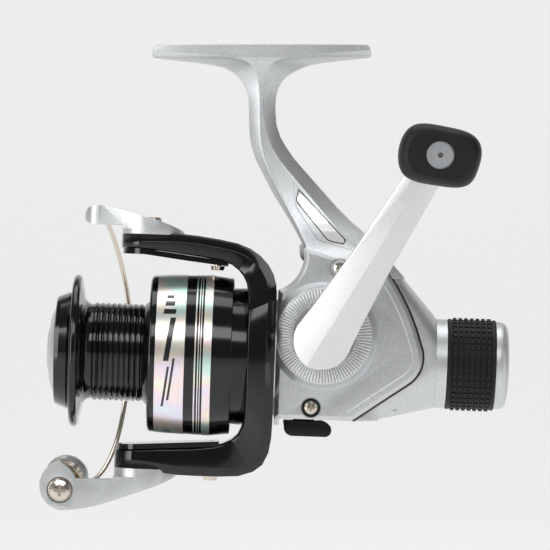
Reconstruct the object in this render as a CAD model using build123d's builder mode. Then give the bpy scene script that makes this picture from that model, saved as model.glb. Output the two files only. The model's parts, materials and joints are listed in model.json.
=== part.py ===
"""Spinning reel with a rear drag, size 3000.

Everything that turns about the spool axis is drawn in the mechanism frame: +X runs along the
spool axis towards the drag knob, +Z points up towards the rod and the handle is on the -Y side,
with the origin where the spool axis passes under the crank. save() carries each finished piece
into the part's own frame, whose origin is the centre of the foot's flat top and whose +Z is
that face's normal.
"""
import os
from math import atan2, cos, degrees, hypot, pi, radians, sin, sqrt

from build123d import *

# ---- driving dimensions, millimetres and degrees -----------------------------------------
FOOT_LENGTH = 65.0
FOOT_WIDTH = 17.0
SPOOL_DROP = 94.2          # spool axis below the foot's top, measured at the crank
CRANK_BACK = 18.14         # crank behind the middle of the foot
SPOOL_TILT = 2.07          # the spool's nose is tilted up by this much

SHAFT_R = 1.5
SHAFT_FLAT = 1.1           # half width across the keyed flats of the main shaft
FIT = 0.05                 # radial clearance of every running fit

CRANK_Z = 7.2              # crank axis above the spool axis
CRANK_R = 3.0
HEX_FLAT = 1.7             # half width across the flats of the crank's hexagon drive
GEAR_TEETH = 44
PINION_TEETH = 10
TOOTH_MODULE = 0.55
OSC_TEETH = 28
OSC_DRIVER_TEETH = 14
OSC_MODULE = 0.6
OSC_X = 12.0
OSC_Z = 3.36
OSC_THROW = 5.5            # radius of the oscillation pin: half of the spool's stroke
SLIDER_OFFSET = 2.5        # slider behind the middle of its stroke in the rest pose

BODY_FRONT = -14.0
BODY_BOTTOM = -17.75
WALL = 1.8
SEAM_Y = -11.5             # near side of the housing shell, under the side cover
COVER_Y = -14.2            # outer face of the side cover
FAR_Y = 13.5               # far side of the housing
NECK_R = 17.4              # hollow neck of the housing inside the rotor
NECK_FRONT = -20.6
TUBE_R = 13.2              # rear tube that holds the drag
TUBE_END = 33.7
DRAG_BORE_R = 11.0

PIVOT_X = -52.0            # bail pivot axis, ahead of the crank
ARM_HALF = 9.0             # half width of the rotor's arms
BAR_HALF = 21.3            # half width of the bar that joins the arms across the drum
DRUM_R = 20.5
ROTOR_FRONT = -22.8
ROTOR_BACK = -14.35

LIP_R = 22.8
SKIRT_R = 24.0
BARREL_R = 14.2
RIB_COUNT = 9
RIB_PITCH = 1.66
RIB_HEIGHT = 0.45

GRIP_R = 13.35
BUMP_ROWS = 40
BUMP_COLUMNS = 7
BUMP_PITCH = 1.7

KNOB_X = 29.7              # handle knob axis
KNOB_Z = 59.8
HANDLE_LENGTH = hypot(KNOB_X, KNOB_Z - CRANK_Z)
HANDLE_ANGLE = degrees(atan2(KNOB_Z - CRANK_Z, KNOB_X))

HOME = Location((CRANK_BACK, 0, -SPOOL_DROP), (0, SPOOL_TILT, 0))
os.makedirs("parts", exist_ok=True)


# ---- helpers -----------------------------------------------------------------------------
def side(y):
    """Sketch plane across the crank axis; +Z of the plane points to the handle side."""
    return Plane.XZ.offset(-y)


def station(x):
    """Sketch plane across the spool axis; its own x runs along +Y and its y along +Z."""
    return Plane.YZ.offset(x)


def level(z):
    """Sketch plane across the bail pivot axis."""
    return Plane.XY.offset(z)


def save(builder, name, in_foot_frame=False):
    """Label a finished piece and write it in the part's own frame."""
    part = builder.part if in_foot_frame else builder.part.moved(HOME)
    part.label = name
    export_step(part, f"parts/{name}.step")


def turned(points, axis=Axis.X):
    """Solid of revolution about the spool axis from (x, radius) points."""
    with BuildPart() as body:
        with BuildSketch(Plane.XZ):
            with BuildLine():
                Polyline(*points, close=True)
            make_face()
        revolve(axis=axis)
    return body


def ring(x0, x1, r_out, r_in):
    """Plain ring on the spool axis from x0 to x1."""
    return turned([(x0, r_in), (x0, r_out), (x1, r_out), (x1, r_in)])


def spur(teeth, module, thin, centre=(0, 0), phase=0.0):
    """Draw a spur gear outline in the open sketch; thin is taken off each tooth's width."""
    pitch_r = teeth * module / 2
    tip_r = pitch_r + 0.85 * module
    root_r = pitch_r - 1.15 * module
    step = 2 * pi / teeth
    half_root = 0.30 * step - thin / (2 * root_r)
    half_tip = 0.13 * step - thin / (4 * tip_r)
    points = []
    for i in range(teeth):
        mid = i * step + radians(phase)
        for radius, angle in ((root_r, -half_root), (tip_r, -half_tip),
                              (tip_r, half_tip), (root_r, half_root)):
            points.append((centre[0] + radius * cos(mid + angle), centre[1] + radius * sin(mid + angle)))
    with BuildLine() as outline:
        Polyline(*points, close=True)
    make_face(outline.line)


def turned_crank(points, x=0.0, z=CRANK_Z):
    """Solid of revolution about the crank axis, or one parallel to it, from (y, radius) points."""
    with BuildPart() as body:
        with BuildSketch(Plane.XY.offset(z)):
            with BuildLine():
                Polyline(*[(x + radius, y) for y, radius in points], close=True)
            make_face()
        revolve(axis=Axis((x, 0, z), (0, 1, 0)))
    return body


# ---- foot, stem and housing: one casting ---------------------------------------------------
def foot_blank():
    """Foot and upper stem, in the foot frame: outline cut to its plan and its end view."""
    half = FOOT_LENGTH / 2
    with BuildPart() as foot:
        with BuildSketch(Plane.XZ):
            with BuildLine():
                top = Line((-half + 1.0, 0), (half - 1.0, 0))
                right = Line(top @ 1, (half, -1.6))
                right_end = Line(right @ 1, (half + 0.4, -3.4))
                under = Spline(right_end @ 1, (26.5, -4.3), (19.1, -5.1), (12.6, -6.6), (7.6, -9.1),
                               (4.9, -12.4), (4.0, -16.0), tangents=((-1, -0.05), (-0.05, -1)))
                neck = Line(under @ 1, (-4.0, -16.0))
                back = Spline(neck @ 1, (-4.9, -12.2), (-7.4, -9.0), (-12.4, -6.4), (-18.0, -5.4),
                              (-25.0, -4.6), (-half - 0.4, -3.7), tangents=((-0.05, 1), (-1, 0.05)))
                left_end = Line(back @ 1, (-half, -1.6))
                Line(left_end @ 1, top @ 0)
            make_face()
        extrude(amount=FOOT_WIDTH / 2, both=True)
        with BuildSketch(Plane.XY.offset(1)):
            with BuildLine():
                lip = ThreePointArc((-half - 0.5, -3.2), (0, -FOOT_WIDTH / 2), (half + 0.5, -3.2))
                tip = ThreePointArc(lip @ 1, (half + 1.6, 0), (half + 0.5, 3.2))
                far = ThreePointArc(tip @ 1, (0, FOOT_WIDTH / 2), (-half - 0.5, 3.2))
                ThreePointArc(far @ 1, (-half - 1.6, 0), lip @ 0)
            make_face()
        extrude(amount=-20, mode=Mode.INTERSECT)
        with BuildSketch(Plane.YZ.offset(-40)):
            with BuildLine():
                roof = Line((-8.6, 1), (8.6, 1))
                edge = Line(roof @ 1, (8.6, -2.6))
                sweep_in = Spline(edge @ 1, (7.6, -5.4), (6.1, -9.6), (5.6, -16.0),
                                  tangents=((-0.2, -1), (0, -1)))
                base = Line(sweep_in @ 1, (-5.6, -16.0))
                sweep_out = Spline(base @ 1, (-6.1, -9.6), (-7.6, -5.4), (-8.6, -2.6),
                                   tangents=((0, 1), (-0.2, 1)))
                Line(sweep_out @ 1, roof @ 0)
            make_face()
        extrude(amount=80, mode=Mode.INTERSECT)
    return foot


# height, left edge, left ridge, right ridge, right edge, half thickness at the ridge and edge
STEM = [
    (-13.0, -4.6, -1.3, 1.2, 4.8, 5.6, 2.9),
    (-18.0, -3.95, -0.9, 0.9, 3.95, 5.2, 2.3),
    (-24.0, -3.8, -0.8, 1.0, 4.4, 5.1, 2.2),
    (-30.5, -3.1, -0.3, 3.2, 7.4, 5.3, 2.3),
    (-37.0, -0.6, 2.0, 8.0, 12.4, 5.8, 2.5),
    (-44.0, 2.9, 5.3, 13.7, 18.5, 6.7, 3.2),
    (-51.0, 7.3, 9.1, 19.5, 25.0, 8.0, 4.6),
    (-57.4, 11.0, 12.2, 24.8, 31.6, 9.6, 6.6),
    (-64.5, 12.3, 13.4, 30.7, 37.7, 11.2, 9.0),
]


def stem_blank():
    """Stem in the foot frame: eight-sided sections that lean back and thicken downwards."""
    with BuildPart() as stem:
        for height, left, ridge_left, ridge_right, right, thick, edge in STEM:
            with BuildSketch(Plane.XY.offset(height)):
                with BuildLine():
                    Polyline((left, -edge), (ridge_left, -thick), (ridge_right, -thick), (right, -edge),
                             (right, edge), (ridge_right, thick), (ridge_left, thick), (left, edge),
                             close=True)
                make_face()
        loft()
    return stem


def cover_outline():
    """Closed outline of the side cover, in the open sketch of a side() plane."""
    with BuildLine() as outline:
        sole = Line((BODY_FRONT, BODY_BOTTOM), (9.4, BODY_BOTTOM))
        flank = Line(sole @ 1, (25.4, -6.4))
        corner = ThreePointArc(flank @ 1, (28.9, -2.2), (28.8, 5.6))
        seam = ThreePointArc(corner @ 1, (24.4, 16.8), (18.3, 26.8))
        top = Line(seam @ 1, (-6.9, 33.3))
        brow = ThreePointArc(top @ 1, (-8.6, 24.4), (BODY_FRONT, 20.3))
        Line(brow @ 1, sole @ 0)
    make_face(outline.line)


def housing_core():
    """Outside of the body: the flat-sided box behind the rotor and its taper to the rear tube."""
    with BuildPart() as core:
        with BuildSketch(side(SEAM_Y)):
            with BuildLine():
                sole = Line((BODY_FRONT, BODY_BOTTOM), (12.0, BODY_BOTTOM))
                rear = Line(sole @ 1, (17.0, -17.4))
                back = Line(rear @ 1, (17.0, 32.0))
                top = Line(back @ 1, (14.0, 34.5))
                crown = Line(top @ 1, (-6.9, 33.3))
                brow = ThreePointArc(crown @ 1, (-8.6, 24.4), (BODY_FRONT, 20.3))
                Line(brow @ 1, sole @ 0)
            make_face()
        extrude(amount=-(FAR_Y - SEAM_Y))
        chamfer(core.faces().sort_by(Axis.Y)[-1].edges(), 2.6)
        for x, low, high, half, corner in ((15.0, -17.7, 34.3, 11.6, 4.0),
                                           (TUBE_END - 1.5, -13.7, 15.2, 13.2, 13.1),
                                           (TUBE_END, -TUBE_R, TUBE_R, TUBE_R, TUBE_R - 0.05)):
            with BuildSketch(station(x)):
                with Locations((0, (low + high) / 2)):
                    RectangleRounded(2 * half, high - low, corner)
        loft(ruled=True)
        with BuildSketch(station(NECK_FRONT)):
            Circle(NECK_R)
        extrude(amount=BODY_FRONT - NECK_FRONT + 1)
        with BuildSketch(station(BODY_FRONT)):
            Circle(20.2)
        extrude(amount=1.6)
    return core



COVER_SCREWS = ((4.0, 27.3), (-3.1, -14.2))
GUIDE_ROD = (0.9, -11.5)   # y and z of the slider's guide rod
GUIDE_R = 1.25
GEAR_R = 15.4
AR_ROD = (1.0, -14.1)      # y and z of the anti-reverse lever's rod
PAWL_PIVOT = (-6.0, -11.4)

with BuildPart() as gearbox:
    add(housing_core().part)
    with BuildSketch(side(SEAM_Y)):
        cover_outline()
    extrude(amount=12, mode=Mode.SUBTRACT)
    # gearbox cavity, neck, gear pocket and drag chamber
    with BuildSketch(side(SEAM_Y - 1)):
        with BuildLine():
            Polyline((-12.4, -15.95), (8.8, -15.95), (21.0, -8.4), (22.4, -6.0), (22.4, 17.0), (16.5, 24.8),
                     (12.0, 26.4), (-4.6, 30.6), (-4.9, 27.5), (-7.6, 22.0), (-12.4, 18.6), close=True)
        make_face()
    extrude(amount=-(FAR_Y - WALL - SEAM_Y + 1), mode=Mode.SUBTRACT)
    with BuildSketch(side(-9.8)):
        with BuildLine():
            Polyline((7.0, -15.95), (12.0, -15.95), (22.4, -14.2), (22.4, -6.0), (7.0, -6.0), close=True)
        make_face()
    extrude(amount=-(FAR_Y - WALL + 9.8), mode=Mode.SUBTRACT)
    with BuildSketch(station(NECK_FRONT + 1.6)):
        Circle(NECK_R - 1.3)
    extrude(amount=BODY_FRONT - NECK_FRONT + 0.1, mode=Mode.SUBTRACT)
    with BuildSketch(side(-6.5)):
        with Locations((0, CRANK_Z)):
            Circle(GEAR_R + 0.5)
    extrude(amount=-4.9, mode=Mode.SUBTRACT)
    with BuildSketch(station(25.0)):
        Circle(DRAG_BORE_R)
    extrude(amount=TUBE_END - 25.0, mode=Mode.SUBTRACT)
    # boss for the pinion bearing in the neck, and its bore
    with BuildSketch(station(NECK_FRONT)):
        Circle(8.5)
    extrude(amount=3.2)
    with BuildSketch(station(NECK_FRONT)):
        Circle(6.5)
    extrude(amount=3.2, mode=Mode.SUBTRACT)
    # far crank boss with its bearing seat
    with BuildSketch(side(9.8)):
        with Locations((0, CRANK_Z)):
            Circle(7.6)
    extrude(amount=-(15.2 - 9.8))
    with BuildSketch(side(9.8)):
        with Locations((0, CRANK_Z)):
            Circle(5.5)
    extrude(amount=-3.4, mode=Mode.SUBTRACT)
    with BuildSketch(side(9.8)):
        with Locations((0, CRANK_Z)):
            Circle(CRANK_R + 0.5)
    extrude(amount=-6, mode=Mode.SUBTRACT)
    # post for the oscillation gear
    with BuildSketch(side(5.0)):
        with Locations((OSC_X, OSC_Z)):
            Circle(1.6)
    extrude(amount=-7)
    with BuildSketch(side(9.6)):
        with Locations((OSC_X, OSC_Z)):
            Circle(3.2)
    extrude(amount=-3)
    # pedestal for the pinion's rear bush
    with BuildSketch(station(-8.5)):
        with Locations((4.9, 0)):
            Rectangle(14.2, 8.4)
        Circle(3.0)
    extrude(amount=1.6)
    with BuildSketch(station(-8.5)):
        Circle(2.4)
    extrude(amount=1.6, mode=Mode.SUBTRACT)
    # front post of the guide rod, and the rod's holes
    with BuildSketch(station(1.6)):
        with Locations((GUIDE_ROD[0], -13.2)):
            Rectangle(4.6, 6.6)
    extrude(amount=2.2)
    with BuildSketch(station(1.6)):
        with Locations(GUIDE_ROD):
            Circle(GUIDE_R)
    extrude(amount=22.0, mode=Mode.SUBTRACT)
    # cover screw bosses
    with BuildSketch(side(SEAM_Y)):
        with Locations(COVER_SCREWS[0]):
            Circle(2.9)
    extrude(amount=-(FAR_Y - 0.5 - SEAM_Y))
    with BuildSketch(side(SEAM_Y)):
        with Locations((COVER_SCREWS[1][0], COVER_SCREWS[1][1] - 0.6)):
            Rectangle(5.8, 5.4)
    extrude(amount=-6.0)
    with BuildSketch(side(SEAM_Y)):
        with Locations(*COVER_SCREWS):
            Circle(1.1)
    extrude(amount=-5.5, mode=Mode.SUBTRACT)
    # main shaft passage, lever slot and the lever rod's bearings
    with BuildSketch(station(20.0)):
        Circle(SHAFT_R + 0.4)
    extrude(amount=8, mode=Mode.SUBTRACT)
    with BuildSketch(level(-20.0)):
        with Locations((-5.0, 2.6)):
            Rectangle(7.4, 11.6)
    extrude(amount=5, mode=Mode.SUBTRACT)
    with BuildSketch(station(-0.8)):
        with Locations((AR_ROD[0], AR_ROD[1] - 1.0)):
            Rectangle(4.0, 4.8)
    extrude(amount=1.8)
    with BuildSketch(station(-19.2)):
        with Locations(AR_ROD):
            Circle(0.95)
    extrude(amount=21, mode=Mode.SUBTRACT)
    # pivot pin of the pawl
    with BuildSketch(station(NECK_FRONT + 1.0)):
        with Locations(PAWL_PIVOT):
            Circle(0.9)
    extrude(amount=5.0)

with BuildPart() as housing:
    add(gearbox.part.moved(HOME))
    add(foot_blank().part)
    add(stem_blank().part)
save(housing, "main_housing", True)


# ---- side cover and the fixed pieces -------------------------------------------------------
with BuildPart() as cover:
    with BuildSketch(side(SEAM_Y)):
        cover_outline()
        offset(amount=-0.12, mode=Mode.REPLACE)
    extrude(amount=SEAM_Y - COVER_Y)
    chamfer(cover.faces().sort_by(Axis.Y)[0].edges(), 1.2)
    with BuildSketch(side(SEAM_Y)):
        with BuildLine():
            Polyline((-12.2, -16.0), (8.6, -16.0), (20.6, -8.6), (25.4, -4.6), (26.0, 1.0), (23.8, 12.0),
                     (17.5, 24.0), (-4.9, 30.2), (-5.2, 27.0), (-8.0, 21.6), (-12.2, 18.4), close=True)
        make_face()
        with Locations(*COVER_SCREWS):
            Circle(3.4, mode=Mode.SUBTRACT)
    extrude(amount=1.0, mode=Mode.SUBTRACT)
    add(turned_crank([(-9.5, 5.6), (-9.5, 7.6), (-12.6, 7.6), (-13.9, 16.4), (-15.6, 14.7), (-16.4, 14.3),
                      (-17.0, 9.4), (-16.7, 9.1), (-15.6, 9.1), (-15.6, 4.7), (-12.8, 4.7), (-12.8, 5.6)]).part)
    with BuildSketch(side(-8.0)):
        with Locations((BODY_FRONT - 5 + 0.12, 0)):
            Rectangle(10, 80)
    extrude(amount=12, mode=Mode.SUBTRACT)
    with BuildSketch(side(-9.0)):
        with Locations((0, CRANK_Z)):
            Circle(5.5)
    extrude(amount=3.8, mode=Mode.SUBTRACT)
    with BuildSketch(side(-9.0)):
        with Locations((0, CRANK_Z)):
            Circle(4.65)
    extrude(amount=9, mode=Mode.SUBTRACT)
    with BuildSketch(side(-13.0)):
        with Locations(*COVER_SCREWS):
            Circle(2.85)
    extrude(amount=5, mode=Mode.SUBTRACT)
    with BuildSketch(side(-10.0)):
        with Locations(*COVER_SCREWS):
            Circle(1.3)
    extrude(amount=5, mode=Mode.SUBTRACT)
save(cover, "side_cover")

with BuildPart() as cover_screws:
    for x, z in COVER_SCREWS:
        add(turned_crank([(-7.0, 0.02), (-7.0, 1.05), (-13.0, 1.05), (-13.0, 2.1), (-13.7, 1.95),
                          (-14.2, 1.2), (-14.35, 0.02)], x, z).part)
    with BuildSketch(side(-13.6)):
        with Locations(*COVER_SCREWS):
            Rectangle(2.2, 0.5)
            Rectangle(0.5, 2.2)
    extrude(amount=2, mode=Mode.SUBTRACT)
save(cover_screws, "cover_screws")

save(ring(-20.6, -17.5, 6.48, 3.0 + FIT), "pinion_bearing")
save(ring(-8.45, -6.95, 2.38, 1.9 + FIT), "pinion_bush")
save(turned_crank([(9.9, 3.05), (9.9, 5.45), (13.1, 5.45), (13.1, 3.05)]), "right_crank_bearing")
save(turned_crank([(-12.75, 3.05), (-12.75, 5.45), (-9.6, 5.45), (-9.6, 3.05)]), "left_crank_bearing")

with BuildPart() as retainer:
    add(ring(-21.15, -20.62, 9.0, 3.6).part)
    with BuildSketch(station(-22)):
        with PolarLocations(7.5, 3):
            Circle(0.75)
    extrude(amount=3, mode=Mode.SUBTRACT)
save(retainer, "bearing_retainer")

with BuildPart() as guide_rod:
    with BuildSketch(station(1.6)):
        with Locations(GUIDE_ROD):
            Circle(GUIDE_R - 0.01)
    extrude(amount=22.0)
save(guide_rod, "slider_guide_rod")

# ---- crank group ---------------------------------------------------------------------------
CRANK_AXIS = Axis((0, 0, CRANK_Z), (0, 1, 0))

with BuildPart() as crank_shaft:
    with BuildSketch(side(15.0)):
        with Locations((0, CRANK_Z)):
            Circle(CRANK_R)
            RegularPolygon(HEX_FLAT + 0.02, 6, major_radius=False, mode=Mode.SUBTRACT)
    extrude(amount=28.0)
save(crank_shaft, "crank_shaft")

with BuildPart() as slot:
    with BuildSketch(station(-17.5)):
        with BuildLine():
            Polyline((-1.9, -0.92), (-3.7, -0.70), (-3.7, 0.70), (-1.9, 0.92), close=True)
        make_face()
    extrude(amount=7.5)

with BuildPart() as drive_gear:
    add(turned_crank([(-8.8, CRANK_R), (-8.8, 5.0), (-5.9, 5.0), (-5.9, GEAR_R), (-2.26, GEAR_R),
                      (-2.26, 12.8), (-4.2, 12.8), (-4.2, 5.0), (-3.4, 5.0), (-3.4, CRANK_R)]).part)
    for i in range(GEAR_TEETH):
        add(slot.part.rotate(CRANK_AXIS, i * 360 / GEAR_TEETH), mode=Mode.SUBTRACT)
save(drive_gear, "drive_gear")

OSC_LINE = degrees(atan2(OSC_Z - CRANK_Z, OSC_X))

with BuildPart() as osc_driver:
    with BuildSketch(side(7.4)):
        spur(OSC_DRIVER_TEETH, OSC_MODULE, 0.2, (0, CRANK_Z), OSC_LINE)
        with Locations((0, CRANK_Z)):
            Circle(CRANK_R, mode=Mode.SUBTRACT)
    extrude(amount=2.0)
save(osc_driver, "oscillation_driver")

PIN_Z = sqrt(OSC_THROW ** 2 - SLIDER_OFFSET ** 2)

with BuildPart() as osc_gear:
    with BuildSketch(side(7.4)):
        spur(OSC_TEETH, OSC_MODULE, 0.2, (OSC_X, OSC_Z), OSC_LINE + 180 + 180 / OSC_TEETH)
    extrude(amount=2.0)
    with BuildSketch(side(9.5)):
        with Locations((OSC_X, OSC_Z)):
            Circle(3.0)
    extrude(amount=2.5)
    with BuildSketch(side(5.6)):
        with Locations((OSC_X + SLIDER_OFFSET, OSC_Z + PIN_Z)):
            Circle(1.2)
    extrude(amount=1.4)
    with BuildSketch(side(10)):
        with Locations((OSC_X, OSC_Z)):
            Circle(1.6 + FIT)
    extrude(amount=8, mode=Mode.SUBTRACT)
save(osc_gear, "oscillation_gear")

SLOT_X = OSC_X + SLIDER_OFFSET

with BuildPart() as slider:
    with BuildSketch(side(3.9)):
        with Locations((SLOT_X, OSC_Z)):
            RectangleRounded(6.0, 15.6, 1.4)
    extrude(amount=2.0)
    with BuildSketch(side(3.0)):
        with Locations((SLOT_X, 0)):
            RectangleRounded(6.0, 6.0, 1.0)
    extrude(amount=5.1)
    with BuildSketch(side(2.7)):
        with Locations((SLOT_X, -7.6)):
            RectangleRounded(3.8, 12.0, 1.0)
    extrude(amount=3.8)
    with BuildSketch(side(4.0)):
        with Locations((SLOT_X, OSC_Z)):
            SlotOverall(13.4, 2.6, rotation=90)
    extrude(amount=2.2, mode=Mode.SUBTRACT)
    with BuildSketch(station(SLOT_X - 4)):
        Circle(SHAFT_R + FIT)
        with Locations(GUIDE_ROD):
            Circle(GUIDE_R + FIT)
    extrude(amount=8, mode=Mode.SUBTRACT)
save(slider, "oscillation_slider")

# ---- handle --------------------------------------------------------------------------------
LEAN = 17.0                # the arm leans away, so that the turning rotor and bail clear it
ARM_BASE_Y = -28.0
KNOB_BASE_Y = -54.6

with BuildPart() as shank:
    with BuildSketch(side(14.0)):
        with Locations((0, CRANK_Z)):
            RegularPolygon(HEX_FLAT, 6, major_radius=False)
    extrude(amount=38.0)
    add(turned_crank([(-13.1, 0.02), (-13.1, 4.3), (ARM_BASE_Y - 1, 4.3), (ARM_BASE_Y - 1, 0.02)]).part)
    with BuildSketch(side(14.1)):
        with Locations((0, CRANK_Z)):
            Circle(1.2)
    extrude(amount=6, mode=Mode.SUBTRACT)
save(shank, "handle_shank")

a, b = radians(HANDLE_ANGLE), radians(LEAN)
along = Vector(cos(a) * cos(b), -sin(b), sin(a) * cos(b))
outward = Vector(-sin(b) * cos(a), -cos(b), -sin(b) * sin(a))
arm_plane = Plane((0, ARM_BASE_Y, CRANK_Z), x_dir=along, z_dir=outward)
end_plane = Plane(arm_plane.origin - 12 * along, x_dir=arm_plane.y_dir, z_dir=along)
ARM_LENGTH = HANDLE_LENGTH / cos(b)

with BuildPart() as arm:
    with BuildSketch(arm_plane):
        Circle(8.45)
        with Locations((ARM_LENGTH, 0)):
            Circle(4.8)
        with BuildLine():
            Polyline((0, 8.45), (10, 7.4), (30, 5.95), (ARM_LENGTH, 4.8), (ARM_LENGTH, -4.8),
                     (30, -5.95), (10, -7.4), (0, -8.45), close=True)
        make_face()
    extrude(amount=8)
    with BuildSketch(end_plane):
        with BuildLine():
            Polyline((-9, -0.1), (9, -0.1), (9, 4.4), (0, 7.0), (-9, 4.4), close=True)
        make_face()
    extrude(amount=90, mode=Mode.INTERSECT)
    with BuildSketch(side(ARM_BASE_Y + 5)):
        with Locations((0, CRANK_Z)):
            Circle(4.3)
    extrude(amount=6, mode=Mode.SUBTRACT)
    with BuildSketch(side(KNOB_BASE_Y + 14)):
        with Locations((KNOB_X, KNOB_Z)):
            Circle(1.58)
    extrude(amount=16, mode=Mode.SUBTRACT)
save(arm, "handle_arm")

with BuildPart() as arm_pin_fix:
    add(turned_crank([(15.4, 0.02), (15.4, 6.2), (16.2, 6.9), (22.6, 6.9), (23.6, 6.0), (24.0, 4.0),
                      (24.0, 0.02)]).part)
    with BuildSketch(side(26)):
        with Locations((0, CRANK_Z)):
            with PolarLocations(7.4, 12):
                Circle(1.0)
    extrude(amount=9.6, mode=Mode.SUBTRACT)
    add(turned_crank([(8.6, 0.02), (8.6, 1.15), (15.4, 1.15), (15.4, 0.02)]).part)
save(arm_pin_fix, "handle_screw_cap")

KNOB_END_Y = KNOB_BASE_Y - 31.4
save(turned_crank([(KNOB_BASE_Y + 6, 0.02), (KNOB_BASE_Y + 6, 1.58), (KNOB_END_Y + 4.4, 1.58),
                   (KNOB_END_Y + 4.4, 2.7), (KNOB_END_Y + 2.8, 2.7), (KNOB_END_Y + 2.8, 0.02)],
                  KNOB_X, KNOB_Z), "knob_spindle")

# distance from the base, half width, half height and fullness of the corners (0.707 is an ellipse)
KNOB_SECTIONS = [(0.0, 4.6, 4.4, 0.72), (5.4, 5.0, 4.7, 0.73), (11.9, 8.0, 6.5, 0.76),
                 (18.9, 11.0, 8.0, 0.79), (25.4, 11.6, 8.4, 0.80), (29.2, 11.0, 7.9, 0.80),
                 (31.4, 9.0, 6.3, 0.79)]
KNOB_TURN = -8.0


def knob_oval(half_x, half_z, full):
    """Closed oval with filled-out corners about the knob's axis."""
    points = [(half_x, 0), (full * half_x, full * half_z), (0, half_z), (-full * half_x, full * half_z),
              (-half_x, 0), (-full * half_x, -full * half_z), (0, -half_z), (full * half_x, -full * half_z)]
    with BuildLine() as outline:
        Spline(*[Vector(*point).rotate(Axis.Z, KNOB_TURN) + Vector(KNOB_X, KNOB_Z) for point in points],
               periodic=True)
    make_face(outline.line)


with BuildPart() as knob:
    for reach, half_x, half_z, full in KNOB_SECTIONS:
        with BuildSketch(side(KNOB_BASE_Y - reach)):
            knob_oval(half_x, half_z, full)
    loft()
    with BuildSketch(side(KNOB_BASE_Y + 1)):
        with Locations((KNOB_X, KNOB_Z)):
            Circle(1.58 + FIT)
    extrude(amount=40, mode=Mode.SUBTRACT)
    with BuildSketch(side(KNOB_END_Y + 4.6)):
        with Locations((KNOB_X, KNOB_Z)):
            Circle(3.0)
    extrude(amount=10, mode=Mode.SUBTRACT)
    with BuildSketch(side(KNOB_END_Y + 1.8)):
        with Locations((KNOB_X, KNOB_Z)):
            Circle(4.0)
    extrude(amount=10, mode=Mode.SUBTRACT)
save(knob, "handle_knob")

save(turned_crank([(KNOB_END_Y + 1.8, 0.75), (KNOB_END_Y + 1.8, 3.95), (KNOB_END_Y + 0.3, 3.95),
                   (KNOB_END_Y - 0.3, 3.4), (KNOB_END_Y - 0.45, 0.75)],
                  KNOB_X, KNOB_Z), "knob_cap")


# ---- pinion and rotor ----------------------------------------------------------------------
with BuildPart() as pinion:
    add(turned([(-34.0, 0.02), (-34.0, 3.0), (-15.3, 3.0), (-15.3, 2.0), (-11.3, 2.0), (-11.3, 1.9),
                (-6.9, 1.9), (-6.9, 0.02)]).part)
    with BuildSketch(station(-15.3)):
        spur(PINION_TEETH, TOOTH_MODULE, 0.85)
    extrude(amount=4.0)
    with BuildSketch(station(-40)):
        Circle(SHAFT_R + FIT)
    extrude(amount=40, mode=Mode.SUBTRACT)
save(pinion, "pinion_gear")

RATCHET_TEETH = 12

with BuildPart() as ratchet:
    with BuildSketch(station(-17.2)):
        with BuildLine() as saw:
            Polyline(*[(radius * cos(2 * pi * i / RATCHET_TEETH), radius * sin(2 * pi * i / RATCHET_TEETH))
                       for i in range(RATCHET_TEETH) for radius in (5.9, 7.4)], close=True)
        make_face(saw.line)
        Circle(3.0, mode=Mode.SUBTRACT)
    extrude(amount=1.6)
save(ratchet, "anti_reverse_ratchet")

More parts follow.
